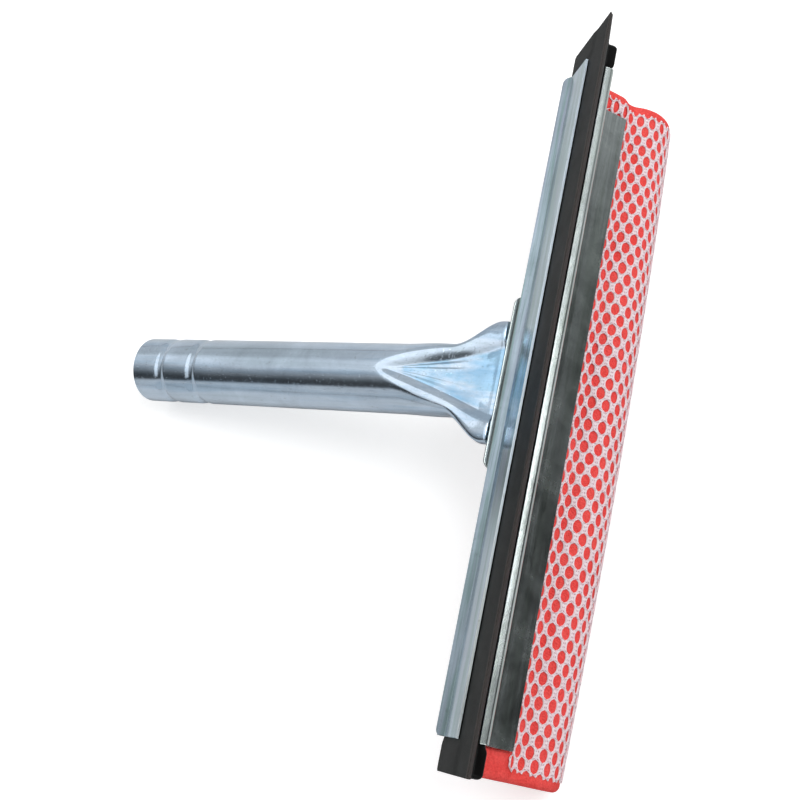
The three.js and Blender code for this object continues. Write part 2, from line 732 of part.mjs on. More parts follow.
// The origin is below the middle of the tool, on the table
const squeegee = new THREE.Group();
squeegee.add(tool);
squeegee.updateMatrixWorld(true);
const box = new THREE.Box3().setFromObject(squeegee, true);
const middle = box.getCenter(new THREE.Vector3());
tool.position.set(-middle.x, -middle.y, -box.min.z);

export default squeegee;
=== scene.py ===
"""A window squeegee: its looks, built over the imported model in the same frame.

Sizes are in millimetres in the sections below and become metres where a point is placed.
"""
import json
import math

import bmesh
import bpy
from mathutils import Matrix, Vector, noise


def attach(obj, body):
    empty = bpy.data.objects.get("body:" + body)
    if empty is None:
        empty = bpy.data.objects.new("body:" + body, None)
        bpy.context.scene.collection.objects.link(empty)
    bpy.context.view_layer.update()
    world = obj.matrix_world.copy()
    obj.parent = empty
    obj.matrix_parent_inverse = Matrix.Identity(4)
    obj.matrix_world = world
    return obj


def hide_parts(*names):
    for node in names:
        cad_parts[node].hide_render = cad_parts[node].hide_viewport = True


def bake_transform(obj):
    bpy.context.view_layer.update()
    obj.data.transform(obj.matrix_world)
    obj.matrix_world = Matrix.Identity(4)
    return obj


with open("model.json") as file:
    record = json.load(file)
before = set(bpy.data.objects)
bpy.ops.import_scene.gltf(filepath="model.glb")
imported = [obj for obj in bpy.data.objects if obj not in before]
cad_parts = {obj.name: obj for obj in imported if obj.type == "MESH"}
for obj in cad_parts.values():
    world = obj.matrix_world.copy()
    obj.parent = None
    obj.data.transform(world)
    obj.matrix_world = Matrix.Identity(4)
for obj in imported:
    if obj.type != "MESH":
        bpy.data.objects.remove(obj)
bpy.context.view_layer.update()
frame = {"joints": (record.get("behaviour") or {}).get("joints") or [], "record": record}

MM = 0.001

# Sizes shared with the solids
BLADE_ANGLE = 47.2
PLATE_ANGLE = 58.5
CLEARANCE = 0.3
SHEET = 0.9
BEND_RADIUS = 1.2
HEAD_LENGTH = 234
CLAMP_HEIGHT = 17.3
FLANGE_WIDTH = 4.2
FLANGE_BEND_UP = 3.9
FLANGE_FLARE = 31.5
WELD_FLANGE_UP = 1.2
WALL_DROP = 8.2
PLATE_LENGTH = 18.1
LOWER_PLATE_END = 15.5
RUBBER_LENGTH = 255
BLADE_HEIGHT = 32.5
HEEL_WIDTH = 8.9
HEEL_HEIGHT = 15
HEEL_PLAY = 0.6
BLADE_ROOT_THICKNESS = 6.6
TIP_THICKNESS = 1.4
TIP_CHAMFER = 1.5
FLEX_AHEAD = 1.6
SPONGE_LENGTH = 254
SPONGE_ROOT = 15
SPONGE_RADIUS = 13
SPONGE_AHEAD = 31.6
SPONGE_DROP = 13
SPONGE_NECK_FRONT = 125
SPONGE_NECK_BACK = -145
NECK_PULL = 3
ROOT_SET = 0.8
NET_THICKNESS = 0.6
NET_GAP = 0.6
HEM_START = 7
TUBE_DIAMETER = 25.4
TUBE_WALL = 1.2
HANDLE_LENGTH = 158.9
HANDLE_OFF_CENTRE = -1.5
GROOVES_FROM_MOUTH = (13.5, 29.5)
GROOVE_WIDTH = 6.2
GROOVE_DEPTH = 0.7
CREASE_LENGTH = 42
CREASE_DEPTH = 3.6
CREASE_END_DEPTH = 2
CREASE_SINK_RUN = 5
CREASE_WALL_SLOPE = 0.66
CREASE_RIM = 2.4
CREASE_FLOOR_START = 2
CREASE_APEX_HALF_WIDTH = 0.4
CREASE_FLOOR_SPREAD = 0.2
CREASE_FLOOR_CURVE = 0.003
FLATTEN_LENGTH = 38
FLARE_LENGTH = 19
FLARE_END = 3
LOBE_HEIGHT = 3.1
LOBE_END = 1.2
LOBE_ROLL = 0.7
TONGUE_WIDTH = 44.2
TONGUE_FOLD = 0.2
TONGUE_BEND_RADIUS = 5
TONGUE_BEND_OUT = 2.4
BORE_BEFORE_CREASE = 5.7
ANCHOR_LENGTH = 62.2
ANCHOR_THICKNESS = 1.2
ANCHOR_OUT = 3.9
ANCHOR_CORNER = 3
RIVET_FLAT_HEAD = 0.7
TONGUE_RIVET = {"shank": 4, "head": 7.4, "dome": 2}
TONGUE_RIVET_PITCH = 12
TONGUE_RIVET_ACROSS = 3.3
CHANNEL_RIVET = {"shank": 2.6, "head": 4.6, "dome": 1.6}
CHANNEL_RIVET_FROM_END = 15
CHANNEL_RIVET_FROM_ANCHOR = 7

# Finish of the tube
CREASE_CORNER = 0.5
FOLDS = (
    {"place": 0.08, "rise": 0.8, "reach": 1},
    {"place": 0.6, "rise": 0.3, "reach": 0.22},
    {"place": 0.3, "rise": 0.22, "reach": 0.13},
    {"place": -0.38, "rise": 0.18, "reach": 0.16},
    {"place": -0.72, "rise": 0.22, "reach": 0.2},
)
FOLDS_END = 8
ROUND_POWER = 2
FLAT_POWER = 5
MOUTH_ROUND = 0.3
MOUTH_RINGS = (0, 0.4, 2)
PLAIN_TUBE_PLACES = (-100, -80, -62)
# Painted reflection: blue patches over the crease's floor, in a wedge from its apex
REFLECTION_PATCH_HALF_WIDTH = 0.27
REFLECTION_PATCH_FADE = 1.4
REFLECTION_PATCH_START = 6

# Finish of the sheets and rivets
EDGE_ROUND = 0.22
PLATE_CORNER = 3 * EDGE_ROUND
FLANGE_CORNER = 2
RIVET_EDGE = 0.25
RIVET_POLE = 0.02

# Finish of the rubber: its heel swells where it stands out of the sheets
BULGE_START = -0.5
BULGE_FULL = 2.5
HEEL_BULGE = 1.2
HEEL_CORNER = 1.7
HEEL_ROUND = 0.9
HEEL_RISE = 0.4
HEEL_SWELL = 0.3
HEEL_FILLET = (0.3, 0.7)
# Painted shade: heel faces up to this far above the heel's top get the darker, glossier rubber
HEEL_SHADE_AND_GLOSS_TOP = 0.5
TIP_EDGE = (0.12, 0.06)
UNDER_CLAMP = 0.5
SWELL_FADE = 4

# Finish of the sponge
SPONGE_SWELL = 0.45
SPONGE_BELLY = 1.8
BELLY_FADE = 9
SPONGE_END_ROUND = 2.5
ROOT_SWELL = 1.6
ROOT_FREE_START = -1
ROOT_FREE_FULL = 3
GRIP_START = -2
GRIP_END = 3
FOAM_WOBBLE = ({"scale": 60, "depth": 0.25}, {"scale": 190, "depth": 0.12})
FOAM_LEAN = 0.3
FOAM_PORES = 1300

# Finish of the net
NET_PITCH = 8.15
NET_ROW = 2.25
NET_COLUMNS = 31
NET_START = -124.3
NET_FIRST_ROW = 1.5
NET_BEFORE_END = 1
HOLE_HALF_LENGTH = 2.4
HOLE_HALF_WIDTH = 1.34
CORD_BASE = 0.55
CUT_STEPS = 2
CORD_GROOVE = 0.85
CORD_RIDGE = 1.1
CORD_RIM = 0.9
RIDGE_SHARE = 0.55
NET_DRIFT = 0.5
NET_DRIFT_SCALE = (0.05, 0.08)
NET_DRIFT_SEED = 3
STITCH_PITCH = 1.3
WAVE_PERIOD = math.pi / 10
BETWEEN_CORDS = "between_cords"

# Colours
WHITE = (1, 1, 1)
BLACK = (0, 0, 0)
BLUE_GREY = (0.57, 0.68, 0.78)
PALE_BLUE = (0.64, 0.75, 0.88)
DEEP_BLUE = (0.50, 0.64, 0.79)
LAVENDER = (0.50, 0.57, 0.68)
TEAL = (0.36, 0.50, 0.51)
GREEN_GREY = (0.52, 0.585, 0.555)
PALE_GREY = (0.67, 0.73, 0.725)
# Blue of the painted reflection on the crease's floor
PAINTED_REFLECTION_BLUE = (0.6, 0.8, 0.91)
WORN_TINT = (0.75, 0.74, 0.7)
RUBBER_COOL = (0.8, 0.84, 0.84)
RUBBER_WARM = (1.0, 1.0, 0.98)
FOAM_RED = (0.87, 0.07, 0.064)
FOAM_LIGHT_RED = (0.95, 0.115, 0.105)
FOAM_SHADE = (0.82, 0.7, 0.68)
NET_SHADE = (0.75, 0.53, 0.58)
NET_WHITE = (0.9, 0.79, 0.82)
STITCH_SHADE = (0.55, 0.34, 0.39)
FILM_LOW = 0.36
FILM_SPAN = 0.28

# The camera, from the handle's axis at the tongue's bend: aside, ahead and above
CAMERA_PLACE = (121.2, 188.9, 351.6)
CAMERA_RIGHT = (-0.2071, 0.8506, -0.4833)
CAMERA_DOWN = (0.942, 0.04, -0.3331)
CAMERA_FOCUS_PIXELS = 1216.7
CAMERA_CLIP = 10
IMAGE_PIXELS = 800
SENSOR = 36

# The world: directions are aside, ahead and above, and fades are cosines of the angle from them
WORLD_COLOUR = (0.96, 0.985, 1.0)
WORLD_LEVEL = 0.62
BACKDROP_LEVEL = 0.95
DARK_STRIP = 0.1
STRIP_DIRECTION = (0.783, 0, -0.622)
STRIP_DARKENS = (-0.6, 0.02)
STRIP_CLEARS = (0.14, 0.26)
WORLD_PLACES = (
    {"towards": (-0.12, 0.97, 0.08), "fades": (0.89, 0.98), "factor": 0.27},
    {"towards": (0.3, 0.94, 0.05), "fades": (0.88, 0.97), "factor": 2.2},
    {"towards": (-0.27, -0.87, 0.42), "fades": (0.93, 0.99), "factor": 1.4},
    {"towards": (-0.27, -0.56, 0.78), "fades": (0.92, 0.99), "factor": 1.35},
)

# Floor and lamps, in metres and watts
FLOOR_HALF_SIZE = 6
FLOOR_SHADE = 0.7
FLOOR_GLOW = 0.58
KEY_LAMP = {"place": (-0.28, 0.5, 0.99), "size": (0.6, 0.6), "power": 6.5}
TOP_LAMP = {"place": (0, -0.25, 1.0), "size": (1.7, 0.7), "power": 2.6}

# Places in the head's section
rubber_left = CLEARANCE
rubber_right = rubber_left + HEEL_WIDTH
channel_wall = rubber_right + CLEARANCE + SHEET / 2
clamp_wall = -SHEET / 2
lip_up = HEEL_HEIGHT + HEEL_PLAY + SHEET / 2
web_across = channel_wall - SHEET - CLEARANCE
web_left = web_across - SHEET / 2
floor_top = -(RIVET_FLAT_HEAD + 2 * CLEARANCE)
floor_up = floor_top - SHEET / 2
anchor_top = floor_top - SHEET - CLEARANCE
tongue_thickness = 2 * TUBE_WALL + TONGUE_FOLD
tongue_top = anchor_top - ANCHOR_THICKNESS - CLEARANCE
tongue_bottom = tongue_top - tongue_thickness
tongue_end = web_left - 3 * CLEARANCE
anchor_end = web_left - 2 * CLEARANCE
flange_flare = math.radians(FLANGE_FLARE)
plate_slope = math.radians(BLADE_ANGLE + PLATE_ANGLE - 90)
root_top = -(SHEET / 2 + CLEARANCE + NET_THICKNESS + NET_GAP)
root_bottom = root_top - SPONGE_ROOT
plate_spacing = SPONGE_ROOT - 2 * root_top
blade_taper = math.atan(
    (BLADE_ROOT_THICKNESS - TIP_THICKNESS) / (BLADE_HEIGHT - TIP_CHAMFER - HEEL_HEIGHT)
)
flex_up = CLAMP_HEIGHT + FLEX_AHEAD


def lerp(a, b, share):
    return a + (b - a) * share


def clamp01(value):
    return min(1, max(0, value))


def ease(start, end, value):
    share = clamp01((value - start) / (end - start))
    return share * share * (3 - 2 * share)


def blade_thickness(up):
    share = (up - HEEL_HEIGHT) / (BLADE_HEIGHT - TIP_CHAMFER - HEEL_HEIGHT)
    return lerp(BLADE_ROOT_THICKNESS, TIP_THICKNESS, share)


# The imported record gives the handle's axis and the blade's flex line, which place both frames
mounts = {mount["name"]: mount for mount in frame["record"]["mounts"]}
joints = {joint["name"]: joint for joint in frame["joints"]}
mouth = mounts["handle_mouth"]
mouth_radius = (TUBE_DIAMETER - TUBE_WALL) / 2
axis_ahead = -Vector(mouth["axis"]).normalized()
handle_tilt = math.atan2(axis_ahead.z, axis_ahead.y)
axis_above = Vector((0, -math.sin(handle_tilt), math.cos(handle_tilt)))
axis_aside = Vector((1, 0, 0))
mouth_centre = Vector(mouth["pos_m"]) - axis_aside * mouth_radius * MM
bend_point = mouth_centre + axis_ahead * HANDLE_LENGTH * MM
bend_point.x = 0
head_turn = handle_tilt + math.radians(BLADE_ANGLE - 90)
head_across = Vector((0, math.cos(head_turn), math.sin(head_turn)))
head_up = Vector((0, -math.sin(head_turn), math.cos(head_turn)))
lip_base_radius = blade_thickness(flex_up) * math.cos(blade_taper) / (1 + math.cos(blade_taper))
flex_across = rubber_left + lip_base_radius
flex_point = Vector(joints["lip_flex"]["pos_m"])
head_origin = flex_point - (head_across * flex_across + head_up * flex_up) * MM


def in_head(along, across, up):
    return head_origin + (axis_aside * along + head_across * across + head_up * up) * MM


def in_tool(aside, ahead, above):
    return bend_point + (axis_aside * aside + axis_ahead * ahead + axis_above * above) * MM


def on_plate(along_plate, above_plate):
    return (
        channel_wall + along_plate * math.cos(plate_slope) + above_plate * math.sin(plate_slope),
        -WALL_DROP - along_plate * math.sin(plate_slope) + above_plate * math.cos(plate_slope),
    )


def along_plate_at(across, above_plate):
    return (across - channel_wall - above_plate * math.sin(plate_slope)) / math.cos(plate_slope)


# Mesh helpers
def add_object(name, data):
    made = bpy.data.objects.new(name, data)
    bpy.context.scene.collection.objects.link(made)
    return made


def make_piece(name, points, faces, material, slot, smooth_angle=40, body="head"):
    mesh = bpy.data.meshes.new(name)
    mesh.from_pydata([tuple(point) for point in points], [], faces)
    mesh.update()
    tidy = bmesh.new()
    tidy.from_mesh(mesh)
    bmesh.ops.recalc_face_normals(tidy, faces=tidy.faces)
    tidy.to_mesh(mesh)
    tidy.free()
    mesh.shade_smooth()
    mesh.set_sharp_from_angle(angle=math.radians(smooth_angle))
    piece = add_object(name, mesh)
    mesh.materials.append(material)
    if body:
        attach(piece, body)
    return piece


def loft(rings):
    """Points and faces of a closed skin over rings that all have the same number of points."""
    count = len(rings[0])
    points = [point for ring in rings for point in ring]
    faces = []
    for r in range(len(rings) - 1):
        for i in range(count):
            following = (i + 1) % count
            a = r * count
            b = a + count
            faces.append((a + i, a + following, b + following, b + i))
    last = (len(rings) - 1) * count
    faces.append(tuple(reversed(range(count))))
    faces.append(tuple(last + i for i in range(count)))
    return points, faces


def round_edges(piece, width, segments=2, angle=50):
    bevel = piece.modifiers.new("edges", "BEVEL")
    bevel.width = width * MM
    bevel.segments = segments
    bevel.limit_method = "ANGLE"
    bevel.angle_limit = math.radians(angle)
    bevel.harden_normals = True


def bent_sheet(path):
    """The outline of a sheet bent along a line of points, rounded at each bend."""
    bend_steps = 10
    front = []
    back = []

    def add_pair(point, direction):
        normal = Vector((-direction.y, direction.x)) * SHEET / 2
        front.append(point + normal)
        back.insert(0, point - normal)

    corners = [Vector(point) for point in path]
    directions = [(b - a).normalized() for a, b in zip(corners, corners[1:])]
    add_pair(corners[0], directions[0])
    for i in range(1, len(corners) - 1):
        before = directions[i - 1]
        after = directions[i]
        angle = math.atan2(before.x * after.y - before.y * after.x, before.dot(after))
        start = corners[i] - before * BEND_RADIUS * math.tan(abs(angle) / 2)
        side = Vector((-before.y, before.x)) * math.copysign(BEND_RADIUS, angle)
        for step in range(bend_steps + 1):
            turned = Matrix.Rotation(angle * step / bend_steps, 2)
            add_pair(start + side - turned @ side, turned @ before)
    add_pair(corners[-1], directions[-1])
    return front + back


def near_left_end(length, run, steps):
    """Places over a short run at the left end of a piece, closest together at the end."""
    return [-length / 2 + run * (1 - math.cos(math.pi / 2 * i / steps)) for i in range(steps + 1)]


def mirrored(left, middle=()):
    """Places on both sides: the left ones, the middle ones and the left ones mirrored."""
    return [*left, *middle, *(-place for place in reversed(left))]


def corner_inset(radius, from_end):
    """How far a rounded corner of that radius is set back at a distance from the end."""
    if from_end >= radius:
        return 0
    return radius - math.sqrt(max(0, radius * radius - (radius - from_end) ** 2))


# Material helpers, which serve the world too
def add_node(material, kind, **settings):
    node = material.node_tree.nodes.new(kind)
    for key, value in settings.items():
        setattr(node, key, value)
    return node


def link(material, source, target):
    material.node_tree.links.new(source, target)


def clear_nodes(material):
    material.use_nodes = True
    material.node_tree.nodes.clear()


def new_material(name):
    material = bpy.data.materials.new(name)
    clear_nodes(material)
    output = add_node(material, "ShaderNodeOutputMaterial")
    shader = add_node(material, "ShaderNodeBsdfPrincipled")
    link(material, shader.outputs["BSDF"], output.inputs["Surface"])
    return material, shader


def grey(level):
    return (level, level, level)


def object_place(material):
    return add_node(material, "ShaderNodeTexCoord").outputs["Object"]


def noise_at(material, scale, detail, roughness, stretch=(1, 1, 1), tilt=0, distortion=0):
    """Noise that is drawn out by the given factors, along axes that are tilted about X."""
    mapping = add_node(material, "ShaderNodeMapping", vector_type="TEXTURE")
    mapping.inputs["Scale"].default_value = stretch
    mapping.inputs["Rotation"].default_value = (tilt, 0, 0)
    texture = add_node(material, "ShaderNodeTexNoise")
    texture.inputs["Scale"].default_value = scale
    texture.inputs["Detail"].default_value = detail
    texture.inputs["Roughness"].default_value = roughness
    texture.inputs["Distortion"].default_value = distortion
    link(material, object_place(material), mapping.inputs["Vector"])
    link(material, mapping.outputs["Vector"], texture.inputs["Vector"])
    return texture.outputs["Fac"]


def ramp(material, source, stops):
    node = add_node(material, "ShaderNodeValToRGB")
    elements = node.color_ramp.elements
    while len(elements) < len(stops):
        elements.new(0.5)
    for element, (place, colour) in zip(elements, stops):
        element.position = place
        element.color = (*colour, 1)
    link(material, source, node.inputs["Fac"])
    return node.outputs["Color"]


def spread(material, source, low, high, start=0, end=1, fade="LINEAR"):
    """A value that goes from low to high as its source goes from start to end."""
    node = add_node(material, "ShaderNodeMapRange", interpolation_type=fade)
    node.inputs["From Min"].default_value = start
    node.inputs["From Max"].default_value = end
    node.inputs["To Min"].default_value = low
    node.inputs["To Max"].default_value = high
    link(material, source, node.inputs["Value"])
    return node.outputs["Result"]


def bump(material, shader, layers):
    """Stacks bumps on a shader: each layer is a height, its strength and its depth in millimetres."""
    below = None
    for height, strength, depth in layers:
        node = add_node(material, "ShaderNodeBump")
        node.inputs["Strength"].default_value = strength
        node.inputs["Distance"].default_value = depth * MM
        link(material, height, node.inputs["Height"])
        if below:
            link(material, below, node.inputs["Normal"])
        below = node.outputs["Normal"]
    link(material, below, shader.inputs["Normal"])


def multiply(material, first, second):
    node = add_node(material, "ShaderNodeMix", data_type="RGBA", blend_type="MULTIPLY")
    node.inputs["Factor"].default_value = 1
    link(material, first, node.inputs["A"])
    link(material, second, node.inputs["B"])
    return node.outputs["Result"]


def calculate(material, operation, first, second):
    """Arithmetic on two values, each a number or another node's output."""
    node = add_node(material, "ShaderNodeMath", operation=operation)
    for value, socket in zip((first, second), node.inputs):
        if isinstance(value, (int, float)):
            socket.default_value = value
        else:
            link(material, value, socket)
    return node.outputs["Value"]


def painted_reflection_patches(material, apex):
    """A blue tint in patches, in a wedge that opens ahead of its apex: a painted reflection on the crease's
    floor.
    """
    axes = add_node(material, "ShaderNodeSeparateXYZ")
    link(material, object_place(material), axes.inputs["Vector"])
    ahead = calculate(material, "SUBTRACT", axes.outputs["Y"], apex.y)
    aside = calculate(material, "SUBTRACT", axes.outputs["X"], apex.x)
    width = calculate(material, "DIVIDE", aside, calculate(material, "MAXIMUM", ahead, MM))
    squared = calculate(material, "MULTIPLY", width, width)
    fade_end = (REFLECTION_PATCH_FADE * REFLECTION_PATCH_HALF_WIDTH) ** 2
    within = spread(material, squared, 1, 0, REFLECTION_PATCH_HALF_WIDTH ** 2, fade_end)
    started = spread(material, ahead, 0, 1, 0, REFLECTION_PATCH_START * MM)
    wedge = calculate(material, "MULTIPLY", within, started)
    patch = noise_at(material, scale=150, detail=3, roughness=0.6, stretch=(1, 2.5, 1))
    tinted = calculate(material, "MULTIPLY", wedge, patch)
    return ramp(material, tinted, [(0.36, WHITE), (0.56, PAINTED_REFLECTION_BLUE)])


def zinc(
    name, colours, rough, wave, streak_depth, grain_depth,
    along=(1, 0, 0), tilt=0, fleck_depth=0, painted_reflection_from=None,
):
    """Zinc plating: its film shifts between the given colours along the streaks that rolling left."""
    material, shader = new_material(name)

    def drawn_out(factor):
        return [lerp(1, factor, share) for share in along]

    smudge = noise_at(material, scale=55, detail=6, roughness=0.62, distortion=0.6)
    film = noise_at(material, scale=160, detail=4, roughness=0.6, stretch=drawn_out(17), tilt=tilt)
    streak = noise_at(material, scale=420, detail=3, roughness=0.6, stretch=drawn_out(33), tilt=tilt)
    grain = noise_at(material, scale=620, detail=4, roughness=0.6)
    specks = noise_at(material, scale=520, detail=6, roughness=0.8)
    long_wave = noise_at(material, scale=38, detail=1, roughness=0.4, stretch=drawn_out(2.9), tilt=tilt)
    places = [FILM_LOW + FILM_SPAN * i / (len(colours) - 1) for i in range(len(colours))]
    colour = ramp(material, film, list(zip(places, colours)))
    cloud = ramp(material, smudge, [(0.3, grey(0.8)), (0.62, WHITE)])
    lines = ramp(material, streak, [(0.34, grey(1 - streak_depth)), (0.62, WHITE)])
    worn = ramp(material, specks, [(0.33, WORN_TINT), (0.4, WHITE)])
    for layer in (cloud, lines, worn):
        colour = multiply(material, colour, layer)
    # Painted reflection: blue patches over the crease's floor
    if painted_reflection_from is not None:
        colour = multiply(material, colour, painted_reflection_patches(material, painted_reflection_from))
    link(material, colour, shader.inputs["Base Color"])
    link(material, spread(material, smudge, *rough, 0.3, 0.7), shader.inputs["Roughness"])
    shader.inputs["Metallic"].default_value = 1
    layers = [(long_wave, 0.5, wave), (streak, 0.1, 0.03), (grain, 0.3, grain_depth)]
    if fleck_depth:
        flecks = noise_at(material, scale=1200, detail=2, roughness=0.5)
        layers.append((spread(material, flecks, 0, 1, 0.62, 0.72), 0.6, fleck_depth))
    bump(material, shader, layers)
    return material


def rubber_material(name, dark, light, rough):
    material, shader = new_material(name)
    speckle = noise_at(material, scale=2600, detail=2, roughness=0.7)
    patch = noise_at(material, scale=90, detail=4, roughness=0.6)
    shade = ramp(material, speckle, [(0.36, dark), (0.68, light)])
    tint = ramp(material, patch, [(0.3, RUBBER_COOL), (0.75, RUBBER_WARM)])
    link(material, multiply(material, shade, tint), shader.inputs["Base Color"])
    link(material, spread(material, patch, *rough), shader.inputs["Roughness"])
    shader.inputs["Specular IOR Level"].default_value = 0.12
    bump(material, shader, [(patch, 0.15, 0.12), (speckle, 0.25, 0.03)])
    return material


def foam_material(name):
    material, shader = new_material(name)
    pores = add_node(material, "ShaderNodeTexVoronoi")
    pores.inputs["Scale"].default_value = FOAM_PORES
    link(material, object_place(material), pores.inputs["Vector"])
    patch = noise_at(material, scale=160, detail=5, roughness=0.6)
    grain = noise_at(material, scale=1100, detail=4, roughness=0.7)
    colour = ramp(material, patch, [(0.28, FOAM_RED), (0.72, FOAM_LIGHT_RED)])
    shade = ramp(material, grain, [(0.3, FOAM_SHADE), (0.62, WHITE)])
    link(material, multiply(material, colour, shade), shader.inputs["Base Color"])
    shader.inputs["Roughness"].default_value = 0.95
    shader.inputs["Specular IOR Level"].default_value = 0.15
    bump(material, shader, [(patch, 0.3, 0.5), (pores.outputs["Distance"], 0.7, 0.35), (grain, 0.5, 0.2)])
    return material


def net_material(name):
    """White cord, with dark stitches that cross the groove between two cords."""
    material, shader = new_material(name)
    thread = noise_at(material, scale=1900, detail=3, roughness=0.6)
    patch = noise_at(material, scale=120, detail=3, roughness=0.5)
    colour = ramp(material, thread, [(0.3, NET_SHADE), (0.58, NET_WHITE)])
    between = add_node(material, "ShaderNodeAttribute", attribute_name=BETWEEN_CORDS)
    beside = ramp(material, between.outputs["Fac"], [(0.1, BLACK), (0.5, WHITE), (0.95, grey(0.15))])
    rungs = add_node(material, "ShaderNodeTexWave", bands_direction="X")
    rungs.inputs["Scale"].default_value = WAVE_PERIOD / (STITCH_PITCH * MM)
    rungs.inputs["Distortion"].default_value = 0.6
    link(material, object_place(material), rungs.inputs["Vector"])
    stitches = calculate(material, "MULTIPLY", beside, rungs.outputs["Fac"])
    shade = ramp(material, stitches, [(0.3, WHITE), (0.75, STITCH_SHADE)])
    link(material, multiply(material, colour, shade), shader.inputs["Base Color"])
    link(material, spread(material, patch, 0.6, 0.8), shader.inputs["Roughness"])
    shader.inputs["Specular IOR Level"].default_value = 0.3
    bump(material, shader, [(thread, 0.6, 0.15)])
    return material


# Materials
tube_zinc = zinc(
    "tube_zinc", (DEEP_BLUE, PALE_BLUE, BLUE_GREY),
    rough=(0.1, 0.18), wave=0.1, streak_depth=0.06, grain_depth=0.012,
    along=(0, 1, 0), tilt=handle_tilt, fleck_depth=0.04,
    # The painted blue reflection starts at the crease's apex
    painted_reflection_from=in_tool(HANDLE_OFF_CENTRE, -CREASE_LENGTH, 0),
)
clamp_zinc = zinc(
    "clamp_zinc", (LAVENDER, BLUE_GREY, TEAL, LAVENDER),
    rough=(0.12, 0.22), wave=0.08, streak_depth=0.2, grain_depth=0.012,
)
sheet_zinc = zinc(
    "sheet_zinc", (GREEN_GREY, PALE_GREY, GREEN_GREY),
    rough=(0.18, 0.3), wave=0.08, streak_depth=0.3, grain_depth=0.08,
)
rivet_zinc = zinc(
    "rivet_zinc", (GREEN_GREY, PALE_GREY),
    rough=(0.2, 0.32), wave=0.05, streak_depth=0.05, grain_depth=0.02,
)
sheared_edge = zinc(
    "sheared_edge", (PALE_GREY, PALE_BLUE),
    rough=(0.45, 0.6), wave=0.02, streak_depth=0.05, grain_depth=0.05,
)
blade_rubber = rubber_material(
    "blade_rubber", dark=(0.006, 0.0065, 0.0065), light=(0.019, 0.02, 0.0195), rough=(0.45, 0.65),
)
# Painted shade: a darker, glossier copy of the rubber for the heel
heel_rubber_painted_shade = rubber_material("heel_rubber_painted_shade", dark=grey(0.002), light=grey(0.005), rough=(0.25, 0.4))
tip_rubber = rubber_material(
    "tip_rubber", dark=(0.02, 0.016, 0.015), light=(0.05, 0.04, 0.036), rough=(0.45, 0.6),
)
red_foam = foam_material("red_foam")
knit = net_material("knit")


# Sheets of the head
def extruded(outline_at, places):
    return loft([[in_head(along, *point) for point in outline_at(along)] for along in places])


def clamp_outline(along):
    width = FLANGE_WIDTH - corner_inset(FLANGE_CORNER, HEAD_LENGTH / 2 - abs(along))
    bend = Vector((clamp_wall, FLANGE_BEND_UP))
    edge = bend + Vector((-math.sin(flange_flare), -math.cos(flange_flare))) * width
    return bent_sheet([(clamp_wall, CLAMP_HEIGHT), bend, edge])


def channel_outline(along):
    lip_edge = rubber_left + blade_thickness(lip_up - SHEET / 2) + CLEARANCE
    plate_end = PLATE_LENGTH - corner_inset(PLATE_CORNER, HEAD_LENGTH / 2 - abs(along))
    return bent_sheet([(lip_edge, lip_up), (channel_wall, lip_up), on_plate(0, 0), on_plate(plate_end, 0)])


def rear_outline(along):
    inset = (SHEET + CLEARANCE) / math.cos(flange_flare)

    def flange_across(up):
        return clamp_wall + inset - (FLANGE_BEND_UP - up) * math.tan(flange_flare)

    web_end = along_plate_at(web_across, -plate_spacing)
    plate_end = LOWER_PLATE_END - corner_inset(PLATE_CORNER, HEAD_LENGTH / 2 - abs(along))
    return bent_sheet([
        (flange_across(WELD_FLANGE_UP), WELD_FLANGE_UP),
        (flange_across(floor_up), floor_up),
        (web_across, floor_up),
        on_plate(web_end, -plate_spacing),
        on_plate(plate_end, -plate_spacing),
    ])


def sheet_piece(name, outline_at, node, finish):
    """A folded sheet, whose long sheared edges are duller than its faces."""
    end_steps = 6
    places = mirrored(near_left_end(HEAD_LENGTH, FLANGE_CORNER, end_steps))
    points, faces = extruded(outline_at, places)
    piece = make_piece(name, points, faces, finish, "zinc_sheet")
    piece.data.materials.append(sheared_edge)
    around = len(points) // len(places)
    for face in piece.data.polygons[:-2]:
        if face.index % around in (around // 2 - 1, around - 1):
            face.material_index = 1
    round_edges(piece, EDGE_ROUND)
    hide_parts(node)


sheet_piece("clamp_sheet", clamp_outline, "front_clamp", clamp_zinc)
sheet_piece("channel_sheet", channel_outline, "blade_channel", sheet_zinc)
sheet_piece("rear_sheet", rear_outline, "back_plate", sheet_zinc)


# Anchor plate
def anchor_piece():
    half = ANCHOR_LENGTH / 2
    outline = [(-half, anchor_end)]
    corner_steps = 8
    for centre, start in ((-half + ANCHOR_CORNER, math.pi), (half - ANCHOR_CORNER, 1.5 * math.pi)):
        for step in range(corner_steps + 1):
            angle = start + math.pi / 2 * step / corner_steps
            outline.append((
                centre + ANCHOR_CORNER * math.cos(angle),
                ANCHOR_CORNER - ANCHOR_OUT + ANCHOR_CORNER * math.sin(angle),
            ))
    outline.append((half, anchor_end))
    rings = [
        [in_head(HANDLE_OFF_CENTRE + along, across, up) for along, across in outline]
        for up in (anchor_top, anchor_top - ANCHOR_THICKNESS)
    ]
    piece = make_piece("anchor_sheet", *loft(rings), sheet_zinc, "zinc_sheet")
    round_edges(piece, EDGE_ROUND)
    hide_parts("anchor_plate")


anchor_piece()


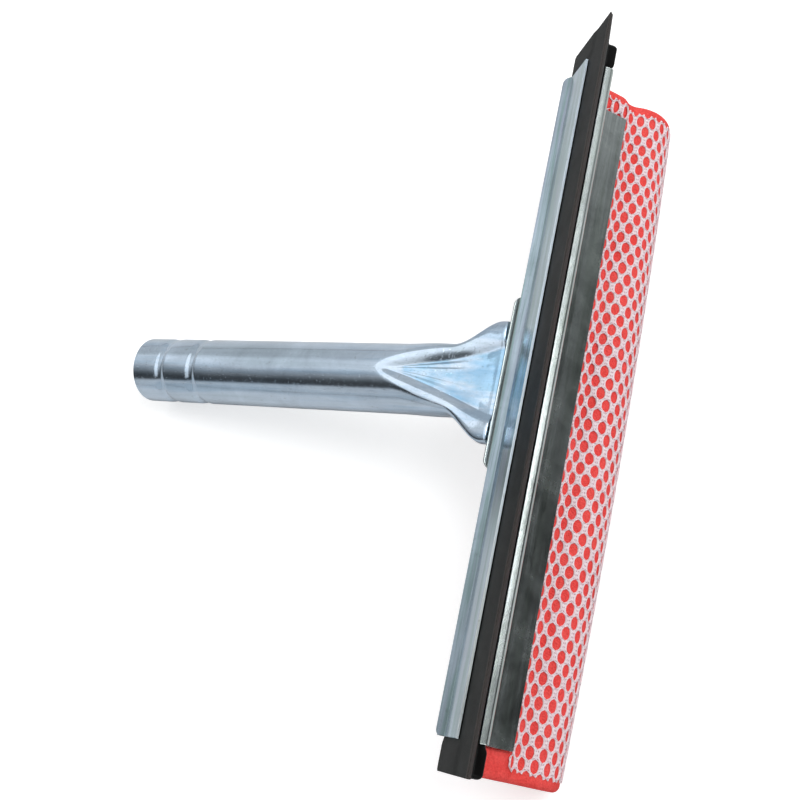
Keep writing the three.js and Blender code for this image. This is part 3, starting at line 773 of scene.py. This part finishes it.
# Rivets: a flat head, a shank and a domed head
def rivet(name, node, size, base, direction, start, end):
    flat = start - CLEARANCE
    dome = end + CLEARANCE
    head = size["head"] / 2
    profile = [
        (RIVET_POLE, flat - RIVET_FLAT_HEAD),
        (head - RIVET_EDGE, flat - RIVET_FLAT_HEAD),
        (head, flat - RIVET_FLAT_HEAD + RIVET_EDGE),
        (head, flat),
        (size["shank"] / 2, flat),
        (size["shank"] / 2, dome),
        (head, dome),
    ]
    dome_steps = 10
    for step in range(1, dome_steps):
        angle = math.pi / 2 * step / dome_steps
        profile.append((head * math.cos(angle), dome + size["dome"] * math.sin(angle)))
    profile.append((RIVET_POLE, dome + size["dome"]))
    across = direction.cross(axis_aside)
    segments = 40

    def ring_point(radius, height, angle):
        beside = axis_aside * radius * math.cos(angle)
        beyond = across * radius * math.sin(angle)
        return base + (direction * height + beside + beyond) * MM

    rings = [
        [ring_point(radius, height, 2 * math.pi * i / segments) for i in range(segments)]
        for radius, height in profile
    ]
    piece = make_piece(name, *loft(rings), rivet_zinc, "rivet_steel", smooth_angle=50)
    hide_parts(node)


for i, step in enumerate((-1, 0, 1), 1):
    along = HANDLE_OFF_CENTRE + step * TONGUE_RIVET_PITCH
    base = in_head(along, TONGUE_RIVET_ACROSS, 0)
    rivet(f"tongue_stud_{i}", f"tongue_rivet_{i}", TONGUE_RIVET, base, -head_up, -floor_top, -tongue_bottom)

outer_rivet = HEAD_LENGTH / 2 - CHANNEL_RIVET_FROM_END
inner_rivet = ANCHOR_LENGTH / 2 + CHANNEL_RIVET_FROM_ANCHOR
channel_rivet_up = (floor_up - WALL_DROP) / 2
for i, along in enumerate((-outer_rivet, -inner_rivet, inner_rivet, outer_rivet), 1):
    base = in_head(along, 0, channel_rivet_up)
    rivet(
        f"channel_stud_{i}", f"channel_rivet_{i}", CHANNEL_RIVET, base, head_across,
        web_left, channel_wall + SHEET / 2,
    )


# Handle tube
tongue_turn = math.radians(90 - BLADE_ANGLE)
bend_reach = TONGUE_BEND_RADIUS * math.tan(tongue_turn / 2)
bend_length = TONGUE_BEND_RADIUS * tongue_turn
tongue_run = TONGUE_BEND_OUT + tongue_end - bend_reach


def centre_line(distance):
    turned = min(tongue_turn, max(0, (distance + bend_reach) / TONGUE_BEND_RADIUS))
    straight = max(0, distance + bend_reach - bend_length)
    ahead = min(distance, -bend_reach) + TONGUE_BEND_RADIUS * math.sin(turned) + straight * math.cos(turned)
    above = -TONGUE_BEND_RADIUS * (1 - math.cos(turned)) - straight * math.sin(turned)
    return ahead, above, turned


def groove_depth(distance):
    depth = 0
    for from_mouth in GROOVES_FROM_MOUTH:
        offset = abs(distance + HANDLE_LENGTH - from_mouth) / (GROOVE_WIDTH / 2)
        if offset < 1:
            depth += GROOVE_DEPTH * (1 + math.cos(math.pi * offset)) / 2
    return depth


def crease_floor_half(distance):
    """Half the width of the crease's floor, which spreads from its apex."""
    run = max(0, min(distance, -bend_reach) + CREASE_LENGTH - CREASE_FLOOR_START)
    return CREASE_APEX_HALF_WIDTH + CREASE_FLOOR_SPREAD * run + CREASE_FLOOR_CURVE * run * run


def crease_depth(distance):
    """How far the crease's floor lies under the tube's crown, and above it before the crease starts."""
    run = distance + CREASE_LENGTH
    if run < 0:
        return CREASE_DEPTH * run / CREASE_SINK_RUN
    depth = lerp(CREASE_DEPTH, CREASE_END_DEPTH, ease(-CREASE_LENGTH, -FLARE_END, distance))
    return depth * (1 - math.exp(-run / CREASE_SINK_RUN))


def lower_of(first, second, round_over):
    """The lower of two heights, rounded over where they cross."""
    near = max(0, round_over - abs(first - second))
    return min(first, second) - (near * near / (4 * round_over) if near else 0)


def fold_height(distance, side, floor_half):
    """Low folds that run down the floor of the crease."""
    begun = ease(-CREASE_LENGTH, -CREASE_LENGTH / 2, distance)
    middle = begun * (1 - ease(-FOLDS_END, -bend_reach, distance))
    height = 0
    for fold in FOLDS:
        aside = abs(side / floor_half - fold["place"])
        height += fold["rise"] * max(0, 1 - aside / fold["reach"])
    return height * middle


def upper_sides(half_width, floor_half):
    """Places across the upper side of a ring, close together at the tube's edge."""
    wall_steps = 44
    floor_steps = 40
    sides = []
    for step in range(wall_steps):
        share = 1 - math.cos(math.pi / 2 * step / wall_steps)
        sides.append(lerp(half_width, floor_half, share))
    for step in range(floor_steps):
        sides.append(lerp(floor_half, 0, step / floor_steps))
    return mirrored(sides, [0])


def tube_ring(distance, inset):
    radius = TUBE_DIAMETER / 2 - groove_depth(distance)
    flat = tongue_thickness / 2
    flatness = ease(-FLATTEN_LENGTH, -FLARE_END, distance)
    flared = ease(-FLARE_LENGTH, -FLARE_END, distance)
    rolled = ease(-LOBE_END, LOBE_ROLL - LOBE_END, distance)
    half_width = lerp(radius, TONGUE_WIDTH / 2, flared) - inset
    lobe = lerp(radius, LOBE_HEIGHT, flatness)
    half_height = lerp(lobe, flat, rolled)
    squareness = lerp(ROUND_POWER, FLAT_POWER, flatness)
    crown = half_height - inset
    floor_half = crease_floor_half(distance)
    floor = max(flat, half_height - crease_depth(distance))
    round_over = CREASE_RIM * clamp01((half_height - flat) / CREASE_END_DEPTH)
    outline = []
    for side in upper_sides(half_width, floor_half):
        across = min(1, abs(side) / half_width)
        height = crown * (1 - across ** squareness) ** (1 / squareness)
        beside = abs(side) - floor_half
        rise = (beside + math.hypot(beside, CREASE_CORNER)) / 2
        trough = floor + CREASE_WALL_SLOPE * rise + fold_height(distance, side, floor_half)
        outline.append((side, lower_of(height, trough, round_over)))
    lower_steps = 64
    for step in range(1, lower_steps):
        angle = math.pi + math.pi * step / lower_steps
        side = math.copysign(abs(math.cos(angle)) ** (2 / squareness), math.cos(angle)) * half_width
        height = -abs(math.sin(angle)) ** (2 / squareness) * crown
        outline.append((side, height))
    ahead, above, turned = centre_line(distance)
    return [
        in_tool(
            HANDLE_OFF_CENTRE + side,
            ahead + height * math.sin(turned),
            above + height * math.cos(turned),
        )
        for side, height in outline
    ]


def tube_places():
    places = [from_mouth - HANDLE_LENGTH for from_mouth in MOUTH_RINGS]
    groove_steps = 12
    for from_mouth in GROOVES_FROM_MOUTH:
        for step in range(groove_steps + 1):
            places.append(from_mouth - HANDLE_LENGTH + (step / groove_steps - 0.5) * GROOVE_WIDTH)
    places += PLAIN_TUBE_PLACES
    crease_steps = 100
    for step in range(crease_steps + 1):
        places.append(lerp(-CREASE_LENGTH - BORE_BEFORE_CREASE, -bend_reach, step / crease_steps))
    bend_steps = 16
    for step in range(1, bend_steps + 1):
        places.append(-bend_reach + bend_length * step / bend_steps)
    places.append(-bend_reach + bend_length + tongue_run / 2)
    places.append(-bend_reach + bend_length + tongue_run)
    return places


def handle_piece():
    bore_end = -CREASE_LENGTH - BORE_BEFORE_CREASE
    outer = tube_places()
    bore = [place for place in outer if place < bore_end] + [bore_end]
    rings = [tube_ring(place, TUBE_WALL) for place in reversed(bore)]
    rings += [tube_ring(place, 0) for place in outer]
    piece = make_piece("handle_tube", *loft(rings), tube_zinc, "zinc_tube", smooth_angle=60)
    round_edges(piece, MOUTH_ROUND, segments=3, angle=60)
    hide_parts("handle_socket")


handle_piece()


# Rubber strip: one piece, its heel and free lip together
def rubber_outline(along):
    from_end = RUBBER_LENGTH / 2 - abs(along)
    free = ease(HEAD_LENGTH / 2 + BULGE_START, HEAD_LENGTH / 2 + BULGE_FULL, abs(along))
    corner = corner_inset(HEEL_CORNER, from_end)
    right = rubber_right + HEEL_BULGE * free - corner
    base = -HEEL_SWELL * free + corner / 2
    heel_top = HEEL_HEIGHT + HEEL_RISE * free - corner
    left = rubber_left - HEEL_SWELL * free
    fillet_out, fillet_up = HEEL_FILLET
    edge_across, edge_down = TIP_EDGE
    points = [(left, base), (right - HEEL_ROUND, base)]

    def add_corner(up, start):
        corner_steps = 5
        for step in range(1, corner_steps):
            angle = start + math.pi / 2 * step / corner_steps
            across = right - HEEL_ROUND + HEEL_ROUND * math.cos(angle)
            points.append((across, up + HEEL_ROUND * math.sin(angle)))

    add_corner(base + HEEL_ROUND, -math.pi / 2)
    points += [(right, base + HEEL_ROUND), (right, heel_top - HEEL_ROUND)]
    add_corner(heel_top - HEEL_ROUND, 0)
    points += [(right - HEEL_ROUND, heel_top), (rubber_left + BLADE_ROOT_THICKNESS + fillet_out, heel_top)]
    rise_steps = 12
    blade_top = BLADE_HEIGHT - TIP_CHAMFER
    for step in range(rise_steps + 1):
        up = lerp(HEEL_HEIGHT + fillet_up, blade_top, step / rise_steps)
        points.append((rubber_left + blade_thickness(up), up))
    points += [(rubber_left + edge_across, BLADE_HEIGHT), (rubber_left, BLADE_HEIGHT - edge_down)]
    for step in range(rise_steps):
        up = lerp(blade_top, CLAMP_HEIGHT - UNDER_CLAMP, step / (rise_steps - 1))
        points.append((lerp(rubber_left, left, ease(CLAMP_HEIGHT + SWELL_FADE, CLAMP_HEIGHT, up)), up))
    points.append((left, CLAMP_HEIGHT / 2))
    return points


def rubber_piece():
    half = RUBBER_LENGTH / 2
    end_steps = 8
    left = near_left_end(RUBBER_LENGTH, HEEL_CORNER, end_steps)
    left += [-half + from_end for from_end in (4, 6, 8)]
    left += [-HEAD_LENGTH / 2 + from_sheets for from_sheets in (-1.5, 0, 2)]
    left += [-half + from_end for from_end in (20, 60)]
    points, faces = extruded(rubber_outline, mirrored(left, [0]))
    piece = make_piece(
        "rubber_strip", points, faces, blade_rubber, "blade_rubber", body=None, smooth_angle=42,
    )
    piece.data.materials.append(heel_rubber_painted_shade)
    piece.data.materials.append(tip_rubber)
    for face in piece.data.polygons:
        place = (face.center - head_origin) / MM
        across = place.dot(head_across)
        up = place.dot(head_up)
        if up > BLADE_HEIGHT - TIP_CHAMFER:
            face.material_index = 2
        # Painted shade: the heel's faces get the darker copy
        elif up < HEEL_HEIGHT + HEEL_SHADE_AND_GLOSS_TOP and across > rubber_left + BLADE_ROOT_THICKNESS:
            face.material_index = 1
    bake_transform(piece)
    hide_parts("blade_root", "blade_lip")


rubber_piece()


# The sponge's surface, from the front plate round the nose to the rear plate
def bezier(a, b, c, d, steps):
    points = []
    for step in range(steps + 1):
        t = step / steps
        u = 1 - t
        points.append(a * u ** 3 + b * 3 * u * u * t + c * 3 * u * t * t + d * t ** 3)
    return points


def wrap_points():
    """The line that the net follows round the sponge, along the plate and above it."""
    centre = Vector((SPONGE_AHEAD, -SPONGE_DROP))
    front = math.radians(SPONGE_NECK_FRONT)
    back = math.radians(SPONGE_NECK_BACK)

    def on_nose(angle):
        return centre + Vector((math.cos(angle), math.sin(angle))) * SPONGE_RADIUS

    def heading(angle):
        return Vector((math.sin(angle), -math.cos(angle))) * NECK_PULL

    pull = Vector((NECK_PULL, 0))
    front_edge = Vector((PLATE_LENGTH - NECK_PULL, root_top))
    back_edge = Vector((LOWER_PLATE_END + CLEARANCE, root_bottom))
    nose_start = on_nose(front)
    nose_end = on_nose(back)
    neck_steps = 14
    nose_steps = 60
    points = [Vector((HEM_START, root_top))]
    points += bezier(front_edge, front_edge + pull, nose_start - heading(front), nose_start, neck_steps)
    points += [on_nose(lerp(front, back, step / nose_steps)) for step in range(1, nose_steps + 1)]
    points += bezier(nose_end, nose_end + heading(back), back_edge + pull, back_edge, neck_steps)[1:]
    points.append(Vector((HEM_START, root_bottom)))
    return points


wrap = wrap_points()
wrap_distance = [0]
for before, after in zip(wrap, wrap[1:]):
    wrap_distance.append(wrap_distance[-1] + (after - before).length)
wrap_length = wrap_distance[-1]


def wrap_at(distance):
    """The place and the outward direction on the wrap at a distance along it."""
    distance = min(max(distance, 0), wrap_length)
    i = 0
    while i < len(wrap) - 2 and wrap_distance[i + 1] < distance:
        i += 1
    share = (distance - wrap_distance[i]) / (wrap_distance[i + 1] - wrap_distance[i])
    place = wrap[i].lerp(wrap[i + 1], share)
    ahead = wrap[min(i + 2, len(wrap) - 1)] - wrap[max(i - 1, 0)]
    ahead.normalize()
    return place, Vector((-ahead.y, ahead.x))


def past_plate(place):
    """0 where the front plate covers the sponge, and 1 beyond the plate's edge."""
    return ease(PLATE_LENGTH + GRIP_START, PLATE_LENGTH + GRIP_END, place.x)


def root_lift(place, along):
    """How far the sponge's root swells where no plate grips it."""
    free = ease(HEAD_LENGTH / 2 + ROOT_FREE_START, HEAD_LENGTH / 2 + ROOT_FREE_FULL, abs(along))
    return ROOT_SWELL * free * (1 - past_plate(place))


def belly(place, along):
    """How far the sponge's nose swells, most at mid-length and not where it rests on the floor."""
    free = ease(PLATE_LENGTH, SPONGE_AHEAD, place.x)
    raised = ease(-SPONGE_DROP - BELLY_FADE, -SPONGE_DROP, place.y)
    return SPONGE_BELLY * free * raised * (1 - (2 * along / SPONGE_LENGTH) ** 2)


def sponge_outline(along):
    inset = corner_inset(SPONGE_END_ROUND, SPONGE_LENGTH / 2 - abs(along))
    root_across = web_across + SHEET / 2 + CLEARANCE + ROOT_SET
    points = []

    def add_point(place, out):
        swell = SPONGE_SWELL * past_plate(place) + root_lift(place, along) + belly(place, along)
        point = place + out * (swell - inset)
        points.append(on_plate(point.x, point.y))

    add_point(Vector((along_plate_at(root_across, root_top), root_top)), Vector((0, 1)))
    steps = 110
    for step in range(steps + 1):
        add_point(*wrap_at(wrap_length * step / steps))
    add_point(Vector((along_plate_at(root_across, root_bottom), root_bottom)), Vector((0, -1)))
    return points


def sponge_piece():
    half = SPONGE_LENGTH / 2
    end_steps = 8
    left = near_left_end(SPONGE_LENGTH, SPONGE_END_ROUND, end_steps)
    left += [-half + from_end for from_end in (6, 8, 10, 12, 16)]
    middle_from_end = 18
    middle_half = half - middle_from_end
    middle_steps = 40
    middle = [lerp(-middle_half, middle_half, step / middle_steps) for step in range(middle_steps + 1)]
    points, faces = extruded(sponge_outline, mirrored(left, middle))
    outward = (head_up - head_across * FOAM_LEAN).normalized()
    moved = []
    for point in points:
        wobble = sum(noise.noise(point * layer["scale"]) * layer["depth"] for layer in FOAM_WOBBLE)
        moved.append(point + outward * wobble * MM)
    piece = make_piece("foam_block", moved, faces, red_foam, "foam", smooth_angle=70)
    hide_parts("sponge")
    return piece


foam = sponge_piece()


# Net: staggered oval openings, each rimmed by a cord of its own, so that two cords run side by side
def net_cell():
    """The rim of one cell and its opening, round its middle."""
    diagonal = (NET_PITCH ** 2 / 4 + NET_ROW ** 2) / 2
    tip = diagonal / (NET_PITCH / 2)
    shoulder = (diagonal - NET_ROW ** 2) / (NET_PITCH / 2)
    corners = [
        (tip, 0), (shoulder, NET_ROW), (-shoulder, NET_ROW),
        (-tip, 0), (-shoulder, -NET_ROW), (shoulder, -NET_ROW),
    ]
    rim = []
    for a, b in zip(corners, corners[1:] + corners[:1]):
        rim.append(Vector(a))
        rim.append((Vector(a) + Vector(b)) / 2)
    opening = []
    for point in rim:
        angle = math.atan2(point.y / HOLE_HALF_WIDTH, point.x / HOLE_HALF_LENGTH)
        opening.append(Vector((HOLE_HALF_LENGTH * math.cos(angle), HOLE_HALF_WIDTH * math.sin(angle))))
    return rim, opening


def net_piece():
    rim, opening = net_cell()
    count = len(rim)
    rows = int((wrap_length - 2 * NET_ROW) / NET_ROW)
    points = []
    marks = []
    seen = {}
    faces = []
    outer_edges = {}
    places_per_mm = 50
    heights_per_mm = 100

    def corner(x, y, height, mark=0):
        """The number of a point on the wrap, which cords that meet there share."""
        key = (round(x * places_per_mm), round(y * places_per_mm), round(height * heights_per_mm))
        if key not in seen:
            place, out = wrap_at(y)
            scale_x, scale_y = NET_DRIFT_SCALE
            drift = noise.noise(Vector((x * scale_x, y * scale_y, NET_DRIFT_SEED))) * NET_DRIFT
            point = place + out * (height + root_lift(place, x) + belly(place, x))
            seen[key] = len(points)
            points.append(in_head(x + drift, *on_plate(point.x, point.y)))
            marks.append(mark)
        return seen[key]

    def cord_section(x, y, i):
        edge = rim[i % count]
        hole = opening[i % count]
        ridge = edge.lerp(hole, RIDGE_SHARE)
        return (
            corner(x + edge.x, y + edge.y, CORD_GROOVE, 1),
            corner(x + ridge.x, y + ridge.y, CORD_RIDGE),
            corner(x + hole.x, y + hole.y, CORD_RIM),
            corner(x + hole.x, y + hole.y, CORD_BASE),
            corner(x + edge.x, y + edge.y, CORD_BASE),
        )

    for row in range(rows):
        y = NET_ROW * (row + NET_FIRST_ROW)
        shift = NET_PITCH / 2 * (row % 2)
        under_plate = wrap_at(y)[0].x < PLATE_LENGTH and y < wrap_length / 2
        for column in range(NET_COLUMNS):
            x = NET_START + shift + column * NET_PITCH
            if x > HEAD_LENGTH / 2 - NET_BEFORE_END and under_plate:
                continue
            steps = range(count)
            if column == 0 and row % 2 == 0:
                steps = range(-CUT_STEPS, CUT_STEPS)
            elif column == NET_COLUMNS - 1 and row % 2 == 1:
                steps = range(count // 2 - CUT_STEPS, count // 2 + CUT_STEPS)
            for i in steps:
                first = cord_section(x, y, i)
                second = cord_section(x, y, i + 1)
                for level in range(4):
                    faces.append((first[level], second[level], second[level + 1], first[level + 1]))
                key = tuple(sorted((first[0], second[0])))
                if key in outer_edges:
                    del outer_edges[key]
                else:
                    outer_edges[key] = (first[0], first[4], second[4], second[0])
            if len(steps) < count:
                faces.append(cord_section(x, y, steps[0]))
                faces.append(cord_section(x, y, steps[-1] + 1))
    faces += outer_edges.values()
    piece = make_piece("knit_net", points, faces, knit, "net", smooth_angle=75)
    between = piece.data.attributes.new(BETWEEN_CORDS, "FLOAT", "POINT")
    between.data.foreach_set("value", marks)
    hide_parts("net_cover")


net_piece()


# Floor, light and camera
def floor_material():
    """A pale floor that glows a little for the camera, so that it stays white."""
    material = bpy.data.materials.new("pale_floor")
    clear_nodes(material)
    output = add_node(material, "ShaderNodeOutputMaterial")
    diffuse = add_node(material, "ShaderNodeBsdfDiffuse")
    diffuse.inputs["Color"].default_value = (*grey(FLOOR_SHADE), 1)
    glow = add_node(material, "ShaderNodeEmission")
    path = add_node(material, "ShaderNodeLightPath")
    strength = calculate(material, "MULTIPLY", path.outputs["Is Camera Ray"], FLOOR_GLOW)
    link(material, strength, glow.inputs["Strength"])
    both = add_node(material, "ShaderNodeAddShader")
    link(material, diffuse.outputs["BSDF"], both.inputs[0])
    link(material, glow.outputs["Emission"], both.inputs[1])
    link(material, both.outputs["Shader"], output.inputs["Surface"])
    return material


def make_floor():
    half = FLOOR_HALF_SIZE
    corners = [(-half, -half, 0), (half, -half, 0), (half, half, 0), (-half, half, 0)]
    mesh = bpy.data.meshes.new("floor")
    mesh.from_pydata(corners, [], [(0, 1, 2, 3)])
    mesh.materials.append(floor_material())
    floor = add_object("floor", mesh)


def in_tool_direction(aside, ahead, above):
    return (axis_aside * aside + axis_ahead * ahead + axis_above * above).normalized()


def make_world():
    """A pale room with a few broad places that are darker or brighter, as a studio has."""
    world = bpy.data.worlds.new("studio")
    bpy.context.scene.world = world
    clear_nodes(world)
    output = add_node(world, "ShaderNodeOutputWorld")
    background = add_node(world, "ShaderNodeBackground")
    background.inputs["Color"].default_value = (*WORLD_COLOUR, 1)
    place = add_node(world, "ShaderNodeTexCoord")
    path = add_node(world, "ShaderNodeLightPath")

    def nearness(direction):
        dot = add_node(world, "ShaderNodeVectorMath", operation="DOT_PRODUCT")
        dot.inputs[1].default_value = in_tool_direction(*direction)
        link(world, place.outputs["Generated"], dot.inputs[0])
        return dot.outputs["Value"]

    def soft_step(value, low, high, fades):
        return spread(world, value, low, high, *fades, fade="SMOOTHSTEP")

    near_strip = nearness(STRIP_DIRECTION)
    darkening = soft_step(near_strip, 1, DARK_STRIP, STRIP_DARKENS)
    clearing = soft_step(near_strip, 0, 1 - DARK_STRIP, STRIP_CLEARS)
    level = calculate(world, "MULTIPLY", calculate(world, "ADD", darkening, clearing), WORLD_LEVEL)
    for spot in WORLD_PLACES:
        factor = soft_step(nearness(spot["towards"]), 1, spot["factor"], spot["fades"])
        level = calculate(world, "MULTIPLY", level, factor)
    missing = calculate(world, "SUBTRACT", BACKDROP_LEVEL, level)
    added = calculate(world, "MULTIPLY", missing, path.outputs["Is Camera Ray"])
    level = calculate(world, "ADD", level, added)
    link(world, level, background.inputs["Strength"])
    link(world, background.outputs["Background"], output.inputs["Surface"])


def make_lamp(name, place, size, power):
    lamp = bpy.data.lights.new(name, "AREA")
    lamp.shape = "RECTANGLE"
    lamp.size = size[0]
    lamp.size_y = size[1]
    lamp.energy = power
    holder = add_object(name, lamp)
    holder.location = place
    holder.rotation_euler = (-Vector(place)).to_track_quat("-Z", "Y").to_euler()


def make_camera():
    camera = bpy.data.cameras.new("camera")
    camera.sensor_fit = "HORIZONTAL"
    camera.sensor_width = SENSOR
    camera.lens = SENSOR * CAMERA_FOCUS_PIXELS / IMAGE_PIXELS
    camera.clip_start = CAMERA_CLIP * MM
    holder = add_object("camera", camera)
    right = in_tool_direction(*CAMERA_RIGHT)
    up = -in_tool_direction(*CAMERA_DOWN)
    backward = right.cross(up).normalized()
    up = backward.cross(right)
    turned = Matrix((right, up, backward)).transposed().to_4x4()
    holder.matrix_world = Matrix.Translation(in_tool(*CAMERA_PLACE)) @ turned
    bpy.context.scene.camera = holder


make_floor()
make_world()
make_lamp("key", **KEY_LAMP)
make_lamp("top", **TOP_LAMP)
make_camera()
bpy.context.scene.view_settings.view_transform = "Standard"
